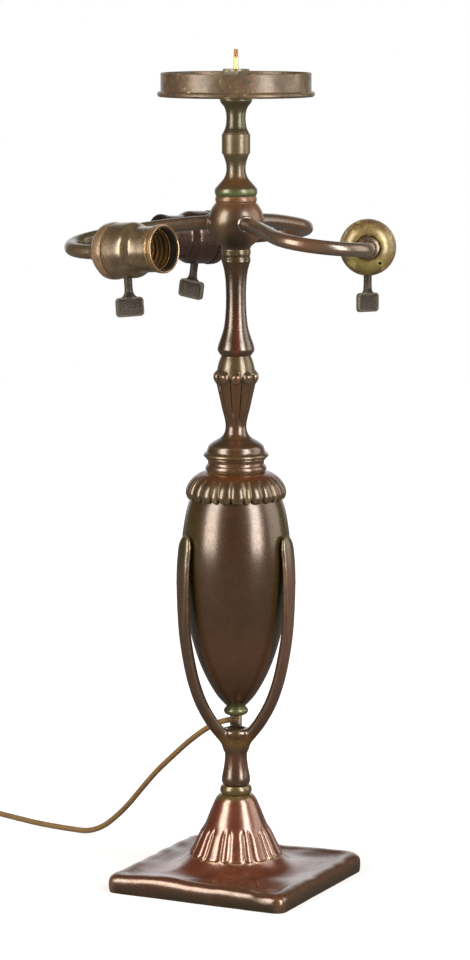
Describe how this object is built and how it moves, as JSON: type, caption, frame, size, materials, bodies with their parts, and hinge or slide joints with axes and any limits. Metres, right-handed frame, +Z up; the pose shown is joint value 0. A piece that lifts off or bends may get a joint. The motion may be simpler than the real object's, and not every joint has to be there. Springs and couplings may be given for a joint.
{
  "type": "table lamp base",
  "caption": "Patinated bronze table lamp base: square foot, urn held in a fingered stem, turned column, curved arms with key sockets, and a shade ring.",
  "frame": {"origin": "centre of the foot's underside, on the lamp's axis", "axes": "+Z up along the lamp's axis, +X to the viewer's right, +Y away from the viewer"},
  "size_m": [0.3662, 0.4132, 0.5657],
  "materials": {
    "brown_bronze": "brown patinated cast bronze, waxed satin",
    "red_bronze": "red brown patinated cast bronze, waxed satin",
    "green_bronze": "brown bronze with green verdigris in the hollows",
    "copper_bronze": "rubbed copper brown bronze",
    "ring_brass": "dull aged brass with green and yellow stains",
    "socket_brass": "tarnished sheet brass",
    "bright_brass": "clean yellow brass",
    "key_iron": "dark blackened metal",
    "steel": "plain steel",
    "fibre": "black vulcanised fibre",
    "porcelain": "unglazed white porcelain",
    "felt": "dark green felt",
    "cord_cloth": "brown gold braided cotton",
    "plug_plastic": "dark brown moulded plastic"
  },
  "bodies": {
    "root": {"foot": "red_bronze", "base_felt": "felt", "foot_washer": "steel", "foot_nut": "steel", "stem_rod": "steel", "stem_collar": "green_bronze", "yoke": "brown_bronze", "urn_body": "brown_bronze", "yoke_screw_1": "steel", "yoke_screw_2": "steel", "yoke_screw_3": "steel", "urn_bush": "green_bronze", "cord_bushing": "fibre", "petal_collar": "brown_bronze", "ring_collar": "copper_bronze", "vase_column": "brown_bronze", "taper_column": "red_bronze", "cluster_body": "brown_bronze", "lower_riser": "green_bronze", "riser_coupling": "brown_bronze", "upper_riser": "green_bronze", "shade_ring": "ring_brass", "ring_nut": "ring_brass", "finial_stud": "bright_brass", "centre_pipe": "steel", "arm_right": "brown_bronze", "arm_left": "brown_bronze", "arm_back": "brown_bronze", "cord": "cord_cloth", "cord_coil": "cord_cloth", "cord_tail": "cord_cloth", "cord_tie": "cord_cloth", "plug_body": "plug_plastic", "plug_blade_1": "bright_brass", "plug_blade_2": "bright_brass", "right_cap": "socket_brass", "right_shell": "socket_brass", "right_liner": "fibre", "right_screw_shell": "bright_brass", "right_socket_body": "porcelain", "right_contact": "bright_brass", "left_cap": "socket_brass", "left_shell": "socket_brass", "left_liner": "fibre", "left_screw_shell": "bright_brass", "left_socket_body": "porcelain", "left_contact": "bright_brass", "back_cap": "socket_brass", "back_shell": "socket_brass", "back_liner": "fibre", "back_screw_shell": "bright_brass", "back_socket_body": "porcelain", "back_contact": "bright_brass"},
    "right_switch": {"right_key": "key_iron", "right_rotor": "fibre"},
    "left_switch": {"left_key": "key_iron", "left_rotor": "fibre"},
    "back_switch": {"back_key": "key_iron", "back_rotor": "fibre"}
  },
  "joints": [
    {"name": "right_key_turn", "type": "hinge", "parent": "root", "child": "right_switch", "pos_m": [0.08707, -0.0238, 0.4366], "axis": [-0.0012, -0.0349, -0.9994], "continuous": true},
    {"name": "left_key_turn", "type": "hinge", "parent": "root", "child": "left_switch", "pos_m": [-0.07132, -0.06493, 0.43726], "axis": [0.0627, -0.0472, -0.9969], "continuous": true},
    {"name": "back_key_turn", "type": "hinge", "parent": "root", "child": "back_switch", "pos_m": [-0.02649, 0.08574, 0.43487], "axis": [-0.1232, 0.1056, -0.9867], "continuous": true}
  ]
}
